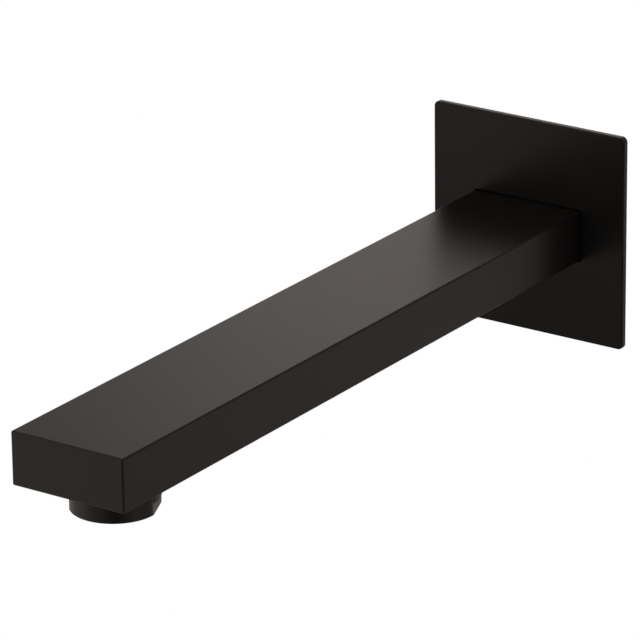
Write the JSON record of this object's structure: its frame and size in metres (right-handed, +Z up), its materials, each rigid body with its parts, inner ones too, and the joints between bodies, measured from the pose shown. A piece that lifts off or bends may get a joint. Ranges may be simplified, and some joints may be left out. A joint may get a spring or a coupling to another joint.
{
  "type": "bath spout",
  "caption": "Wall-mounted bath spout: a flat square-edged bar through a square cover plate, with a slip-on threaded inlet and a screw-in aerator under its front end.",
  "frame": {"origin": "centre of the wall face: where the axis of the inlet meets the finished wall, in the middle of the gasket's rear face", "axes": "+Z up, +Y into the wall along the axis of the inlet, the bar runs along -Y"},
  "size_m": [0.072, 0.276, 0.072],
  "materials": {
    "satin_black": "satin to matt black coating, slightly warm, with fine even grain",
    "bare_brass": "turned and milled, uncoated",
    "stainless_steel": "plain, drawn and turned",
    "seal_rubber": "smooth black moulded rubber",
    "foam_rubber": "closed-cell foam, dull dark grey",
    "grey_acetal": "moulded, smooth and slightly translucent grey"
  },
  "bodies": {
    "root": {"spout_tube": "satin_black", "front_cap": "satin_black", "wall_plate": "satin_black", "aerator_housing": "satin_black", "outlet_bush": "satin_black", "inlet_block": "bare_brass", "inlet_nipple": "bare_brass", "grub_screw": "stainless_steel", "plate_gasket": "foam_rubber", "spigot_o_ring_rear": "seal_rubber", "spigot_o_ring_front": "seal_rubber", "aerator_seal": "seal_rubber", "aerator_strainer": "grey_acetal", "flow_plate": "grey_acetal", "aerator_cage": "grey_acetal", "screen_spacer_upper": "grey_acetal", "screen_spacer_lower": "grey_acetal", "outlet_grille": "grey_acetal", "screen_upper": "stainless_steel", "screen_middle": "stainless_steel", "screen_lower": "stainless_steel"}
  },
  "joints": []
}
